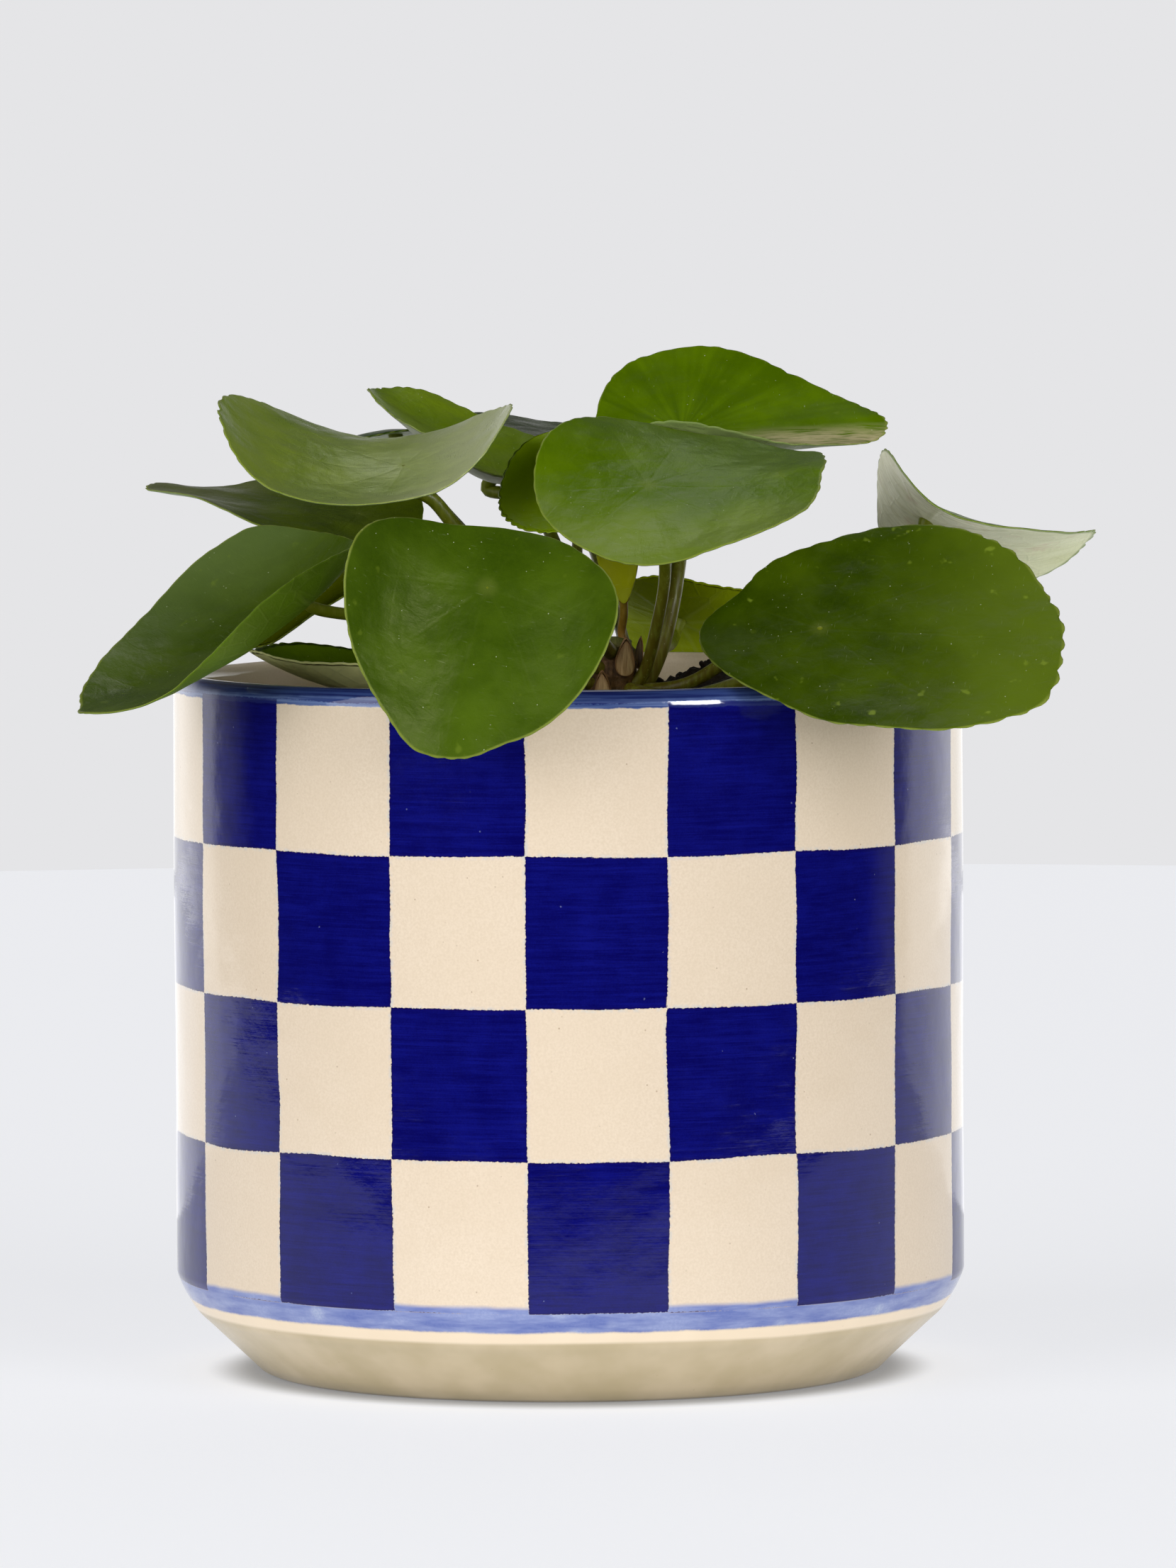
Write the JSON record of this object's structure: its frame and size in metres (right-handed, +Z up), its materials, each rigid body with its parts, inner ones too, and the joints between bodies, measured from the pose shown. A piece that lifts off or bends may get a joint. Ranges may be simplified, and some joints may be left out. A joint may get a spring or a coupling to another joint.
{
  "type": "potted pilea plant",
  "caption": "Houseplant with round glossy leaves on long stalks, growing in a straight-walled glazed pot painted with a blue and cream check.",
  "frame": {"origin": "on the pot's axis, in the plane of its flat base", "axes": "+Z up along the pot's axis; -Y towards the front, the side that the picture shows; +X to the right seen from the front"},
  "size_m": [0.179, 0.1743, 0.1805],
  "materials": {
    "glaze": "gloss glaze over a hand-painted blue and cream check, blue rim, bare pale chamfer below",
    "soil": "dark crumbly potting soil",
    "bark": "brown corky stem",
    "scale": "dry papery stipule",
    "leaf": "glossy mid-green leaf, paler below",
    "stalk": "smooth yellow-green leaf stalk",
    "young_leaf": "young yellow-green leaf",
    "red_stalk": "young red-brown leaf stalk"
  },
  "bodies": {
    "root": {"pot": "glaze", "soil": "soil", "trunk": "bark", "stipule_1": "scale", "stipule_2": "scale", "stipule_3": "scale", "blade_front": "leaf", "stalk_front": "stalk", "blade_center": "leaf", "stalk_center": "stalk", "blade_right_front": "leaf", "stalk_right_front": "stalk", "blade_top_right": "leaf", "stalk_top_right": "stalk", "blade_upper_left": "leaf", "stalk_upper_left": "stalk", "blade_lower_left": "leaf", "stalk_lower_left": "stalk", "blade_far_left": "leaf", "stalk_far_left": "stalk", "blade_back_upper_left": "leaf", "stalk_back_upper_left": "stalk", "blade_back_top": "leaf", "stalk_back_top": "stalk", "blade_shaded_middle": "leaf", "stalk_shaded_middle": "stalk", "blade_right_back": "leaf", "stalk_right_back": "stalk", "blade_back_low": "leaf", "stalk_back_low": "stalk", "blade_rim_left": "leaf", "stalk_rim_left": "stalk", "blade_young": "young_leaf", "stalk_young": "red_stalk", "blade_shaded_left": "leaf", "stalk_shaded_left": "stalk", "blade_back_left": "leaf", "stalk_back_left": "stalk"}
  },
  "joints": []
}
